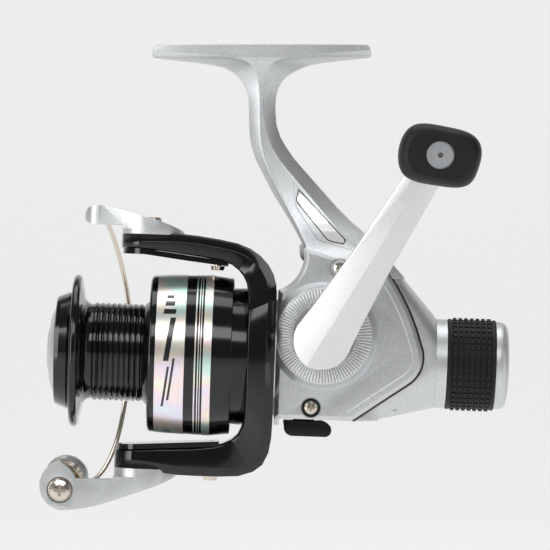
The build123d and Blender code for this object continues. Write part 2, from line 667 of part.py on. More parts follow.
with BuildPart() as rotor:
    with BuildSketch(side(-BAR_HALF - 1)):
        with BuildLine():
            tip_top = Line((-61.4, 31.3), (-61.4, 35.5))
            outer_top = Spline(tip_top @ 1, (-52.0, 36.0), (-42.6, 36.1), (-34.3, 35.1), (-26.5, 33.8),
                               (-21.7, 31.8), (-18.5, 29.3), (-16.0, 26.0), (-14.6, 22.0), (ROTOR_BACK, 18.0),
                               tangents=((1, 0.07), (0, -1)))
            bar = Line(outer_top @ 1, (ROTOR_BACK, -20.0))
            outer_low = Spline(bar @ 1, (-14.7, -26.6), (-16.2, -31.2), (-19.2, -34.0), (-24.0, -35.6),
                               (-33.0, -36.0), (-42.5, -35.9), (-50.0, -34.9), (-61.4, -34.3),
                               tangents=((0, -1), (-1, 0.02)))
            tip_low = Line(outer_low @ 1, (-61.4, -29.0))
            shelf_low = Line(tip_low @ 1, (-30.0, -27.0))
            step_low = Line(shelf_low @ 1, (-29.7, -25.3))
            inner_low = Spline(step_low @ 1, (-26.8, -24.8), (-24.6, -23.2), (-23.2, -20.0),
                               (ROTOR_FRONT, -16.0), tangents=((1, 0.02), (0, 1)))
            inner_bar = Line(inner_low @ 1, (ROTOR_FRONT, 18.5))
            inner_top = Spline(inner_bar @ 1, (-23.2, 22.2), (-25.0, 24.8), (-28.4, 26.6),
                               tangents=((0, 1), (-1, 0.25)))
            step_top = Line(inner_top @ 1, (-28.9, 28.4))
            bend_top = Line(step_top @ 1, (-40.9, 29.7))
            shelf_top = Line(bend_top @ 1, (-54.5, 31.3))
            Line(shelf_top @ 1, tip_top @ 0)
        make_face()
    extrude(amount=-2 * (BAR_HALF + 1))
    with BuildSketch(station(-70)):
        Rectangle(2 * ARM_HALF, 80)
        Ellipse(BAR_HALF, 27)
    extrude(amount=60, mode=Mode.INTERSECT)
    with BuildSketch(level(-45)):
        with Locations((PIVOT_X, 0)):
            Circle(9.3)
        with Locations((PIVOT_X + 20, 0)):
            Rectangle(40, 2 * BAR_HALF + 2)
    extrude(amount=90, mode=Mode.INTERSECT)
    # drum inside the spool's skirt, hub, and the recess that turns round the housing's neck
    add(turned([(-45.0, 18.7), (-45.0, DRUM_R), (ROTOR_BACK, DRUM_R), (ROTOR_BACK, 0.02), (-30.0, 0.02),
                (-30.0, 6.5), (-25.6, 6.5), (-25.6, 18.7)]).part)
    with BuildSketch(station(-21.7)):
        Circle(18.2)
    extrude(amount=10, mode=Mode.SUBTRACT)
    with BuildSketch(station(-31)):
        Circle(3.0)
    extrude(amount=12, mode=Mode.SUBTRACT)
    # seats for the two bail arms and the bores of their pivots
    with BuildSketch(level(35.4)):
        with Locations((PIVOT_X, 0)):
            Circle(9.7)
    extrude(amount=4, mode=Mode.SUBTRACT)
    with BuildSketch(level(-34.2)):
        with Locations((PIVOT_X, 0)):
            Circle(9.7)
    extrude(amount=-4, mode=Mode.SUBTRACT)
    # spring and trip lever pockets, open to the inside of the arms
    with BuildSketch(level(28.0)):
        with Locations((-44.5, 0)):
            RectangleRounded(26.0, 13.0, 3.0)
    extrude(amount=5.9, mode=Mode.SUBTRACT)
    with BuildSketch(level(-26.0)):
        with Locations((-44.5, 0)):
            RectangleRounded(26.0, 13.0, 3.0)
    extrude(amount=-6.2, mode=Mode.SUBTRACT)
    with BuildSketch(level(31.4)):
        with Locations((PIVOT_X, 0)):
            Circle(4.4)
    extrude(amount=3.0)
    with BuildSketch(level(-29.0)):
        with Locations((PIVOT_X, 0)):
            Circle(4.4)
    extrude(amount=-4.0)
    with BuildSketch(level(30)):
        with Locations((PIVOT_X, 0)):
            Circle(3.0 + FIT)
    extrude(amount=8, mode=Mode.SUBTRACT)
    with BuildSketch(level(-28)):
        with Locations((PIVOT_X, 0)):
            Circle(3.0 + FIT)
    extrude(amount=-10, mode=Mode.SUBTRACT)
    # cover screw holes through the arms
    with BuildSketch(level(-40)):
        with Locations((-32.4, 0)):
            Circle(1.1)
    extrude(amount=74.2, mode=Mode.SUBTRACT)
save(rotor, "rotor")

save(ring(-30.55, -30.0, 5.4, 3.02), "rotor_washer")

with BuildPart() as rotor_nut:
    with BuildSketch(station(-33.4)):
        RegularPolygon(4.8, 6, major_radius=False)
        Circle(3.0, mode=Mode.SUBTRACT)
    extrude(amount=2.85)
save(rotor_nut, "rotor_nut")


def arm_cover(points, mirror_sign):
    """Thin cover under one rotor arm, drawn in side view and rounded round the bail pivot."""
    with BuildPart() as plate:
        with BuildSketch(side(-8.6)):
            with BuildLine():
                Polyline(*points, close=True)
            make_face()
        extrude(amount=-17.2)
        with BuildSketch(level(-45)):
            with Locations((PIVOT_X, 0)):
                Circle(8.9)
            with Locations((PIVOT_X + 14, 0)):
                Rectangle(28, 17.2)
        extrude(amount=90, mode=Mode.INTERSECT)
        with BuildSketch(level(mirror_sign * 20)):
            with Locations((-32.4, 0)):
                Circle(1.0)
        extrude(amount=mirror_sign * 20, mode=Mode.SUBTRACT)
    return plate


save(arm_cover([(-61.2, 29.6), (-54.5, 29.6), (-40.9, 28.0), (-29.2, 26.8), (-29.0, 28.35), (-40.9, 29.65),
                (-54.5, 31.25), (-61.2, 31.25)], 1), "upper_arm_cover")
save(arm_cover([(-61.2, -27.4), (-30.1, -25.4), (-30.1, -26.95), (-61.2, -28.95)], -1), "lower_arm_cover")

COVER_SCREW_X = -32.4

with BuildPart() as arm_screws:
    for low, high in ((26.0, 34.0), (-37.4, -26.5)):
        with BuildSketch(level(low)):
            with Locations((COVER_SCREW_X, 0)):
                Circle(0.98)
        extrude(amount=high - low)
    for base, up in ((26.85, -1.3), (-36.05, -1.4)):
        with BuildSketch(level(base)):
            with Locations((COVER_SCREW_X, 0)):
                Circle(2.25)
        extrude(amount=up, taper=14)
        with BuildSketch(level(base + up * 0.6)):
            with Locations((COVER_SCREW_X, 0)):
                Rectangle(2.6, 0.5)
                Rectangle(0.5, 2.6)
        extrude(amount=up, mode=Mode.SUBTRACT)
save(arm_screws, "arm_cover_screws")

with BuildPart() as bail_spring:
    with BuildLine():
        Helix(pitch=0.78, height=1.56, radius=5.2, center=(PIVOT_X, 0, 31.9))
    with BuildSketch(Plane(bail_spring.pending_edges[0] @ 0, z_dir=bail_spring.pending_edges[0] % 0)):
        Circle(0.3)
    sweep(is_frenet=True)
save(bail_spring, "bail_spring")

with BuildPart() as trip_lever:
    with BuildSketch(level(31.8)):
        with Locations((-40.3, 0)):
            RectangleRounded(8.0, 3.0, 1.0)
    extrude(amount=1.8)
save(trip_lever, "trip_lever")

# ---- bail ----------------------------------------------------------------------------------
HEAD = (-77.0, -41.6)      # x and z of the roller screw
ROLLER_AXIS = Vector(0.13, 0.93, 0.34).normalized()
ROLLER_ORIGIN = Vector(HEAD[0], -5.0, HEAD[1])


def roller_ring(points):
    """Solid of revolution about the line roller's axis from (distance, radius) points."""
    frame = Plane(ROLLER_ORIGIN, x_dir=ROLLER_AXIS.cross(Vector(0, 1, 0)), z_dir=ROLLER_AXIS)
    with BuildPart() as body:
        with BuildSketch(Plane(frame.origin, x_dir=frame.x_dir, z_dir=-frame.y_dir)):
            with BuildLine():
                Polyline(*[(radius, distance) for distance, radius in points], close=True)
            make_face()
        revolve(axis=Axis(frame.origin, frame.z_dir))
    return body


with BuildPart() as upper_bail:
    with BuildSketch(side(-12)):
        with BuildLine():
            sole = Polyline((-42.6, 35.6), (-61.4, 35.6), (-61.4, 38.3), (-71.0, 38.1), (-72.6, 39.2))
            nose = ThreePointArc(sole @ 1, (-72.7, 41.9), (-69.4, 43.8))
            roof = Spline(nose @ 1, (-65.0, 43.4), (-59.8, 42.2), (-52.9, 40.4), (-47.0, 38.6), (-42.6, 36.6),
                          tangents=((1, 0.05), (1, -0.5)))
            Line(roof @ 1, sole @ 0)
        make_face()
    extrude(amount=-26)
    with BuildSketch(level(34)):
        with Locations((PIVOT_X, 0)):
            Circle(9.2)
        with BuildLine():
            Polyline((-52, -9.2), (-60, -6.4), (-68, -0.5), (-71, 3), (-70, 10.5), (-64.5, 11.0), (-58, 9.0),
                     (-52, 9.2), close=True)
        make_face()
        with Locations((-67.6, 5.6)):
            Circle(5.3)
    extrude(amount=12, mode=Mode.INTERSECT)
    with BuildSketch(level(30)):
        with Locations((PIVOT_X, 0)):
            Circle(40)
            Circle(9.3, mode=Mode.SUBTRACT)
    extrude(amount=7.0, mode=Mode.SUBTRACT)
    with BuildSketch(level(35.7)):
        with Locations((PIVOT_X, 0)):
            Circle(3.0)
    extrude(amount=-4.2)
    with BuildSketch(level(39.2)):
        with Locations((PIVOT_X, 0)):
            Circle(2.9)
    extrude(amount=8, mode=Mode.SUBTRACT)
    with BuildSketch(level(30)):
        with Locations((PIVOT_X, 0)):
            Circle(1.5 + FIT)
    extrude(amount=12, mode=Mode.SUBTRACT)
save(upper_bail, "upper_bail_arm")

with BuildPart() as roller_bail:
    with BuildSketch(side(-12)):
        with BuildLine():
            top = Polyline((-42.6, -34.4), (-61.4, -34.4), (-61.4, -38.1), (-72.6, -38.0))
            shoulder = ThreePointArc(top @ 1, (-75.4, -34.5), (-78.6, -33.4))
            head = ThreePointArc(shoulder @ 1, (-83.1, -41.0), (-76.6, -47.6))
            belly = Spline(head @ 1, (-69.8, -46.8), (-64.8, -45.5), (-59.9, -43.8), (-55.0, -41.9),
                           (-48.0, -39.2), (-42.6, -36.5), tangents=((1, 0.02), (1, 0.6)))
            Line(belly @ 1, top @ 0)
        make_face()
    extrude(amount=-26)
    with BuildSketch(level(-50)):
        with Locations((PIVOT_X, 0)):
            Circle(9.2)
        with BuildLine():
            Polyline((-52, -9.2), (-60, -8.4), (-68, -7.4), (-84, -7.4), (-84, -2.9), (-70, -2.9), (-64, 1.5),
                     (-58, 7.0), (-52, 9.2), close=True)
        make_face()
    extrude(amount=18, mode=Mode.INTERSECT)
    with BuildSketch(level(-30)):
        with Locations((PIVOT_X, 0)):
            Circle(20)
            Circle(9.3, mode=Mode.SUBTRACT)
    extrude(amount=-7.0, mode=Mode.SUBTRACT)
    with BuildSketch(level(-34.5)):
        with Locations((PIVOT_X, 0)):
            Circle(3.0)
    extrude(amount=4.4)
    with BuildSketch(level(-38.6)):
        with Locations((PIVOT_X, 0)):
            Circle(2.9)
    extrude(amount=-8, mode=Mode.SUBTRACT)
    with BuildSketch(level(-28)):
        with Locations((PIVOT_X, 0)):
            Circle(1.5 + FIT)
    extrude(amount=-14, mode=Mode.SUBTRACT)
    with BuildSketch(side(-6.4)):
        with Locations(HEAD):
            Circle(3.9)
    extrude(amount=2, mode=Mode.SUBTRACT)
    with BuildSketch(side(-2)):
        with Locations(HEAD):
            Circle(1.3)
    extrude(amount=6, mode=Mode.SUBTRACT)
save(roller_bail, "roller_bail_arm")

with BuildPart() as pivot_screws:
    for sign, seat, tip in ((1, 39.25, 31.5), (-1, -38.65, -29.4)):
        with BuildSketch(level(seat)):
            with Locations((PIVOT_X, 0)):
                Circle(2.65)
        extrude(amount=sign * 1.5, taper=22)
        with BuildSketch(level(seat)):
            with Locations((PIVOT_X, 0)):
                Circle(1.5)
        extrude(amount=tip - seat)
        with BuildSketch(level(seat + sign * 0.8)):
            with Locations((PIVOT_X, 0)):
                Rectangle(2.8, 0.55)
                Rectangle(0.55, 2.8)
        extrude(amount=sign * 2, mode=Mode.SUBTRACT)
save(pivot_screws, "bail_pivot_screws")

with BuildPart() as roller_screw:
    add(turned_crank([(-3.0, 0.02), (-3.0, 1.28), (-6.4, 1.28), (-6.4, 3.75), (-7.3, 3.6), (-8.1, 2.9),
                      (-8.6, 1.6), (-8.75, 0.02)], HEAD[0], HEAD[1]).part)
    with BuildSketch(side(-7.6)):
        with Locations(HEAD):
            Rectangle(3.6, 0.8)
            Rectangle(0.8, 3.6)
    extrude(amount=2, mode=Mode.SUBTRACT)
save(roller_screw, "roller_screw")

save(roller_ring([(4.5, 0.02), (4.5, 4.9), (5.1, 4.9), (5.1, 2.5), (9.9, 2.5), (9.9, 0.02)]), "roller_axle")
save(roller_ring([(5.2, 2.5 + FIT), (5.2, 5.6), (5.8, 5.6), (6.8, 4.7), (8.2, 4.7), (9.2, 5.6), (9.8, 5.6),
                  (9.8, 2.5 + FIT)]), "line_roller")

with BuildPart() as wire_holder:
    add(roller_ring([(9.9, 0.02), (9.9, 6.1), (10.6, 6.5), (11.8, 6.4), (13.2, 5.3), (14.2, 3.4),
                     (14.5, 0.02)]).part)
save(wire_holder, "bail_wire_holder")

with BuildPart() as bail_wire:
    with BuildLine() as route:
        Spline((-75.0, 7.9, -37.5), (-69.6, 15.5, -40.2), (-63.4, 28.0, -32.5), (-60.2, 37.6, -17.0),
               (-59.0, 40.4, 0), (-60.4, 38.0, 16.0), (-63.4, 28.6, 29.5), (-65.6, 16.0, 36.6),
               (-66.6, 7.0, 39.4))
    with BuildSketch(Plane(route.line @ 0, z_dir=route.line % 0)):
        Circle(0.75)
    sweep()
save(bail_wire, "bail_wire")


# ---- main shaft and spool ------------------------------------------------------------------
with BuildPart() as main_shaft:
    add(turned([(-78.6, 0.02), (-78.6, 1.2), (-77.9, SHAFT_R), (-76.4, SHAFT_R), (-76.4, 1.15),
                (-75.5, 1.15), (-75.5, SHAFT_R), (10.9, SHAFT_R), (10.9, 1.2), (11.4, 1.2), (11.4, SHAFT_R),
                (17.6, SHAFT_R), (17.6, 1.2), (18.1, 1.2), (18.1, SHAFT_R), (42.0, SHAFT_R),
                (42.0, 0.02)]).part)
    with BuildSketch(station(21.5)):
        Rectangle(4, 4)
        Rectangle(2 * SHAFT_FLAT, 4, mode=Mode.SUBTRACT)
    extrude(amount=22, mode=Mode.SUBTRACT)
save(main_shaft, "main_shaft")

with BuildPart() as shaft_clips:
    for x in (10.92, 17.62):
        with BuildSketch(station(x)):
            Circle(2.15)
            Circle(1.2, mode=Mode.SUBTRACT)
            with Locations((0, 2.2)):
                Rectangle(1.9, 4.4, mode=Mode.SUBTRACT)
        extrude(amount=0.46)
save(shaft_clips, "shaft_clips")

save(ring(-54.8, -53.6, 4.4, SHAFT_R), "spool_washer")


def barrel_ribs():
    """(x, radius) points of the rounded ribs that grip the line, front to back."""
    points = []
    first = -68.0
    for rib in range(RIB_COUNT):
        for step, height in ((-0.46, 0.0), (-0.34, 0.7), (-0.14, 1.0), (0.14, 1.0), (0.34, 0.7), (0.46, 0.0)):
            points.append((first + (rib + step) * RIB_PITCH, BARREL_R + height * RIB_HEIGHT))
    return points


with BuildPart() as spool:
    with BuildSketch(Plane.XZ):
        with BuildLine():
            front = Polyline((-75.5, 4.6), (-75.5, 15.0), (-75.2, 21.4))
            rim = ThreePointArc(front @ 1, (-73.75, LIP_R), (-72.7, 21.9))
            back = Line(rim @ 1, (-71.5, 15.9))
            root = ThreePointArc(back @ 1, (-70.6, 14.7), (-69.3, BARREL_R))
            ribs = Polyline(root @ 1, *barrel_ribs(), (-53.8, BARREL_R))
            shoulder = ThreePointArc(ribs @ 1, (-53.0, 15.0), (-51.9, 15.9))
            face = Line(shoulder @ 1, (-51.9, 22.3))
            corner = ThreePointArc(face @ 1, (-51.6, 23.1), (-50.9, 23.45))
            skirt = ThreePointArc(corner @ 1, (-41.5, 23.85), (-32.9, SKIRT_R))
            taper = Line(skirt @ 1, (-27.4, 23.4))
            Polyline(taper @ 1, (-27.2, 23.2), (-27.2, 22.5), (-48.9, 22.3), (-49.6, 21.6), (-49.6, 12.6),
                     (-70.0, 12.6), (-70.0, 4.6), (-55.0, 4.6), (-55.0, SHAFT_R), (-74.5, SHAFT_R),
                     (-74.5, 4.6), (-75.5, 4.6))
        make_face()
    revolve(axis=Axis.X)
save(spool, "spool")

save(turned([(-75.55, 13.0), (-75.55, 17.3), (-76.2, 17.5), (-78.6, 16.6), (-79.7, 16.1), (-79.9, 15.7),
             (-79.9, 13.0)]), "spool_nose_ring")

with BuildPart() as nose_cap:
    add(turned([(-79.0, 7.6), (-79.0, 12.9), (-80.0, 12.9), (-80.35, 12.5), (-81.0, 11.2), (-81.6, 9.4),
                (-81.8, 7.6)]).part)
    add(turned([(-75.6, 12.2), (-75.6, 12.9), (-79.1, 12.9), (-79.1, 12.2)]).part)
save(nose_cap, "spool_nose_cap")

save(turned([(-82.4, 0.02), (-82.35, 5.4), (-81.9, 7.0), (-81.5, 7.5), (-78.85, 7.5), (-78.85, 8.6),
             (-78.4, 8.6), (-78.4, 2.0), (-80.8, 2.0), (-80.8, 0.02)]), "spool_button")

with BuildPart() as button_spring:
    with BuildLine():
        Helix(pitch=1.0, height=2.0, radius=5.6, center=(-78.0, 0, 0), direction=(1, 0, 0))
    with BuildSketch(Plane(button_spring.pending_edges[0] @ 0, z_dir=button_spring.pending_edges[0] % 0)):
        Circle(0.25)
    sweep(is_frenet=True)
save(button_spring, "button_spring")

with BuildPart() as latch_clip:
    with BuildSketch(station(-76.2)):
        Circle(5.0)
        Circle(4.3, mode=Mode.SUBTRACT)
        with Locations((1.55, 0), (-1.55, 0)):
            Rectangle(0.7, 8.4)
        with Locations((0, 4.6)):
            Rectangle(2.4, 3, mode=Mode.SUBTRACT)
    extrude(amount=0.6)
save(latch_clip, "spool_latch_clip")

# ---- rear drag -----------------------------------------------------------------------------
with BuildPart() as drag_bush:
    add(turned([(25.3, 0.02), (25.3, 9.2), (26.3, 9.2), (26.3, 4.0), (33.0, 4.0), (33.0, 0.02)]).part)
    with BuildSketch(station(24)):
        Rectangle(2 * (SHAFT_FLAT + FIT), 2 * (SHAFT_R + FIT))
    extrude(amount=10, mode=Mode.SUBTRACT)
save(drag_bush, "drag_bush")

save(ring(29.25, 29.85, 9.4, 4.0), "keyed_drag_washer")

with BuildPart() as felt_washers:
    for x in (26.4, 28.15, 29.95):
        add(ring(x, x + 0.95, 9.4, 4.3).part)
save(felt_washers, "felt_washers")

with BuildPart() as eared_washers:
    for x in (27.45, 31.0):
        add(ring(x, x + 0.6, DRAG_BORE_R, 4.4).part)
save(eared_washers, "eared_drag_washers")

with BuildPart() as drag_spring:
    with BuildLine():
        Helix(pitch=0.95, height=1.5, radius=7.6, center=(32.15, 0, 0), direction=(1, 0, 0))
    with BuildSketch(Plane(drag_spring.pending_edges[0] @ 0, z_dir=drag_spring.pending_edges[0] % 0)):
        Circle(0.35)
    sweep(is_frenet=True)
save(drag_spring, "drag_spring")

save(ring(34.7, 36.2, DRAG_BORE_R - 0.1, 5.1), "drag_nut")
save(ring(TUBE_END, 36.9, 13.3, DRAG_BORE_R), "rear_collar")

save(turned([(33.9, 2.6), (33.9, 5.0), (37.2, 5.0), (37.2, 12.1), (51.4, 12.1), (51.4, 9.0), (39.4, 9.0),
             (39.4, 2.6)]), "drag_knob_core")

GRIP_FRONT, GRIP_BACK = 37.1, 51.5
GRIP_CREST = 13.9


def grip_profile():
    """(x, radius) points of the grip: seven raised bands between two plain rims."""
    points = [(GRIP_FRONT, 12.12), (GRIP_FRONT, GRIP_R), (GRIP_FRONT + 0.4, 13.6)]
    middle = (GRIP_FRONT + GRIP_BACK) / 2
    for column in range(BUMP_COLUMNS):
        x = middle + (column - (BUMP_COLUMNS - 1) / 2) * BUMP_PITCH
        points += [(x - 0.62, GRIP_R), (x - 0.45, GRIP_CREST), (x + 0.45, GRIP_CREST), (x + 0.62, GRIP_R)]
    return points + [(GRIP_BACK - 0.4, 13.6), (GRIP_BACK, GRIP_R), (GRIP_BACK, 12.12)]


with BuildPart() as grip:
    add(turned(grip_profile()).part)
    with BuildSketch(station(GRIP_FRONT + 1.6)):
        with PolarLocations(GRIP_CREST + 0.4, BUMP_ROWS):
            Rectangle(1.5, 0.75)
    extrude(amount=GRIP_BACK - GRIP_FRONT - 3.2, mode=Mode.SUBTRACT)
save(grip, "drag_grip")

with BuildPart() as end_cap:
    add(turned([(51.5, 0.02), (51.5, 13.1), (53.2, 13.1), (54.3, 12.6), (55.0, 11.6), (55.5, 9.0), (55.7, 6.2),
                (54.9, 5.8), (54.9, 0.02)]).part)
save(end_cap, "drag_end_cap")

# ---- anti-reverse --------------------------------------------------------------------------
ROD_Y, ROD_Z = AR_ROD

with BuildPart() as lever:
    with BuildSketch(side(ROD_Y - 2.6)):
        with BuildLine():
            paddle = Polyline((-11.2, -18.5), (-10.9, -20.6))
            toe = ThreePointArc(paddle @ 1, (-10.2, -22.4), (-8.4, -23.25))
            sole = Line(toe @ 1, (1.6, -23.25))
            heel = ThreePointArc(sole @ 1, (3.0, -22.5), (3.3, -20.6))
            lift = Line(heel @ 1, (3.2, -20.2))
            rise = ThreePointArc(lift @ 1, (2.4, -19.3), (-1.4, -18.5))
            Line(rise @ 1, paddle @ 0)
        make_face()
    extrude(amount=-5.2)
    with BuildSketch(side(ROD_Y - 1.6)):
        with Locations((-5.0, -16.3)):
            Rectangle(6.4, 5.0)
    extrude(amount=-3.2)
    with BuildSketch(station(-8.2)):
        with Locations(AR_ROD):
            Circle(1.9)
    extrude(amount=6.4)
    with BuildSketch(station(-9)):
        with Locations(AR_ROD):
            Circle(0.88)
    extrude(amount=8, mode=Mode.SUBTRACT)
save(lever, "anti_reverse_lever")

with BuildPart() as lever_rod:
    with BuildSketch(station(-19.1)):
        with Locations(AR_ROD):
            Circle(0.88)
    extrude(amount=20)
    with BuildSketch(station(-17.1)):
        with Locations((ROD_Y, ROD_Z + 1.0)):
            Rectangle(1.2, 2.6)
    extrude(amount=1.4)
save(lever_rod, "lever_rod")

with BuildPart() as pawl:
    with BuildSketch(station(-17.1)):
        with BuildLine():
            Polyline((-6.0, -9.8), (0.6, -7.9), (1.8, -8.1), (1.6, -9.4), (-5.4, -12.8), close=True)
        make_face()
        with Locations(PAWL_PIVOT):
            Circle(1.7)
            Circle(0.9 + FIT, mode=Mode.SUBTRACT)
    extrude(amount=1.4)
save(pawl, "anti_reverse_pawl")
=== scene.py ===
"""Looks of the spinning reel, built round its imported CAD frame."""

import json
import math

import bmesh
import bpy
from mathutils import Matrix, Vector

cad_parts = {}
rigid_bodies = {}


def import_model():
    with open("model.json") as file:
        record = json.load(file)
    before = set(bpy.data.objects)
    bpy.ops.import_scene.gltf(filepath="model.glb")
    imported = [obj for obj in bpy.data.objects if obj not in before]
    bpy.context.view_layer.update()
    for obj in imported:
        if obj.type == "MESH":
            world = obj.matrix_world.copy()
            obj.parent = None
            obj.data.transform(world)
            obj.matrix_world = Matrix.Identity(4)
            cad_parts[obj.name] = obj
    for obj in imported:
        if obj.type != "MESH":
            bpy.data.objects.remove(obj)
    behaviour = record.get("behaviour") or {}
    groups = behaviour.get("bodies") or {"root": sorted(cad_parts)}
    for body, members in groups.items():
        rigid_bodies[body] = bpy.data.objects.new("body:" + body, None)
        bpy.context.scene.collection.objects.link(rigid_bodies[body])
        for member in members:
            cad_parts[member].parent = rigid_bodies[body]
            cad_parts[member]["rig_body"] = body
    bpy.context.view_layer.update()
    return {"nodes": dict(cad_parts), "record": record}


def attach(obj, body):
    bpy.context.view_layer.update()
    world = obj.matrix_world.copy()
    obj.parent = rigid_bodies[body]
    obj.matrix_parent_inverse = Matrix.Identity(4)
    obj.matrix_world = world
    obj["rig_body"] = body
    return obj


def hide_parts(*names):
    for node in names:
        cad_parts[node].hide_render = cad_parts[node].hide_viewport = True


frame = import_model()
NODES = frame["nodes"]
MM = 0.001

# ---- mechanism frame: +X along the spool axis towards the drag knob, origin under the crank ----
TILT = math.radians(2.07)
HOME = Vector((18.14, 0.0, -94.2))
AXIS_X = Vector((math.cos(TILT), 0, -math.sin(TILT)))
AXIS_Y = Vector((0, 1, 0))
AXIS_Z = Vector((math.sin(TILT), 0, math.cos(TILT)))


def at(x, y, z):
    """Row-frame metres of a point given in mechanism-frame millimetres."""
    return (HOME + AXIS_X * x + AXIS_Y * y + AXIS_Z * z) * MM


# ---- materials -------------------------------------------------------------------------------
def material(name, metallic=0.0, coat=0.0, coat_roughness=0.1, specular=0.5):
    """A new node material and its shader."""
    made = bpy.data.materials.new(name)
    made.use_nodes = True
    shader = made.node_tree.nodes["Principled BSDF"]
    shader.inputs["Metallic"].default_value = metallic
    shader.inputs["Coat Weight"].default_value = coat
    shader.inputs["Coat Roughness"].default_value = coat_roughness
    shader.inputs["Specular IOR Level"].default_value = specular
    return made, made.node_tree, shader


def coordinates(tree):
    """Object coordinates: row-frame metres on every piece."""
    return tree.nodes.new("ShaderNodeTexCoord").outputs["Object"]


def noise(tree, where, scale, detail=3.0, roughness=0.55):
    """Noise factor at a scale in cycles per metre."""
    node = tree.nodes.new("ShaderNodeTexNoise")
    node.inputs["Scale"].default_value = scale
    node.inputs["Detail"].default_value = detail
    node.inputs["Roughness"].default_value = roughness
    tree.links.new(where, node.inputs["Vector"])
    return node.outputs["Fac"]


def ramp(tree, factor, stops):
    """Colour ramp over (position, colour) stops."""
    node = tree.nodes.new("ShaderNodeValToRGB")
    elements = node.color_ramp.elements
    while len(elements) < len(stops):
        elements.new(0.5)
    for element, (place, colour) in zip(elements, stops):
        element.position = place
        element.color = (*colour, 1)
    tree.links.new(factor, node.inputs["Fac"])
    return node.outputs["Color"]


def span(tree, factor, low, high):
    """Factor 0..1 mapped to low..high."""
    node = tree.nodes.new("ShaderNodeMapRange")
    node.inputs["To Min"].default_value = low
    node.inputs["To Max"].default_value = high
    tree.links.new(factor, node.inputs["Value"])
    return node.outputs["Result"]


def bump(tree, shader, height, distance, strength=0.4, under=None):
    """Adds a bump of that height in metres, on top of an earlier one."""
    node = tree.nodes.new("ShaderNodeBump")
    node.inputs["Strength"].default_value = strength
    node.inputs["Distance"].default_value = distance
    tree.links.new(height, node.inputs["Height"])
    if under:
        tree.links.new(under, node.inputs["Normal"])
    tree.links.new(node.outputs["Normal"], shader.inputs["Normal"])
    return node.outputs["Normal"]


def shade(colour, amount):
    """A colour made lighter or darker by a factor."""
    return tuple(c * amount for c in colour)


def speckled(name, colour, metallic, rough, flake=0.1, flake_scale=9000, coat=0.0, peel=0.2,
             specular=0.5, cloud=0.06):
    """Paint or moulding: fine flakes, slow colour variation and a slight orange peel."""
    made, tree, shader = material(name, metallic, coat, 0.12, specular)
    where = coordinates(tree)
    fine = noise(tree, where, flake_scale, 2.0)
    slow = noise(tree, where, 90, 3.0)
    grains = ramp(tree, fine, [(0.3, shade(colour, 1 - flake)), (0.7, shade(colour, 1 + flake))])
    clouds = ramp(tree, slow, [(0.3, (1 - cloud,) * 3), (0.7, (1, 1, 1))])
    mix = tree.nodes.new("ShaderNodeMix")
    mix.data_type = "RGBA"
    mix.blend_type = "MULTIPLY"
    mix.inputs["Factor"].default_value = 1.0
    tree.links.new(grains, mix.inputs["A"])
    tree.links.new(clouds, mix.inputs["B"])
    tree.links.new(mix.outputs["Result"], shader.inputs["Base Color"])
    tree.links.new(span(tree, slow, rough * 0.88, rough * 1.12), shader.inputs["Roughness"])
    bump(tree, shader, noise(tree, where, 1400, 2.0), 0.00001, peel)
    return made


def turned_metal(name, colour, rough, axis_scale=(9000, 300, 300)):
    """Machined or drawn metal with fine lines along one direction."""
    made, tree, shader = material(name, 1.0)
    where = coordinates(tree)
    stretch = tree.nodes.new("ShaderNodeMapping")
    stretch.inputs["Scale"].default_value = axis_scale
    tree.links.new(where, stretch.inputs["Vector"])
    lines = noise(tree, stretch.outputs["Vector"], 1.0, 4.0, 0.7)
    slow = noise(tree, where, 160, 2.0)
    tint = ramp(tree, lines, [(0.25, shade(colour, 0.86)), (0.75, colour)])
    tree.links.new(tint, shader.inputs["Base Color"])
    tree.links.new(span(tree, slow, rough * 0.7, rough * 1.3), shader.inputs["Roughness"])
    bump(tree, shader, lines, 0.000006, 0.35)
    return made


def soft_plastic(name, colour, rough, grain=2600, depth=0.00003, specular=0.5):
    """Rubber or satin plastic with a fine moulded grain."""
    made, tree, shader = material(name, 0.0, specular=specular)
    where = coordinates(tree)
    grainy = noise(tree, where, grain, 4.0, 0.6)
    slow = noise(tree, where, 120, 3.0)
    tree.links.new(ramp(tree, slow, [(0.3, shade(colour, 0.8)), (0.7, shade(colour, 1.2))]),
                   shader.inputs["Base Color"])
    tree.links.new(span(tree, grainy, rough * 0.85, min(1.0, rough * 1.15)), shader.inputs["Roughness"])
    bump(tree, shader, grainy, depth, 0.5)
    return made


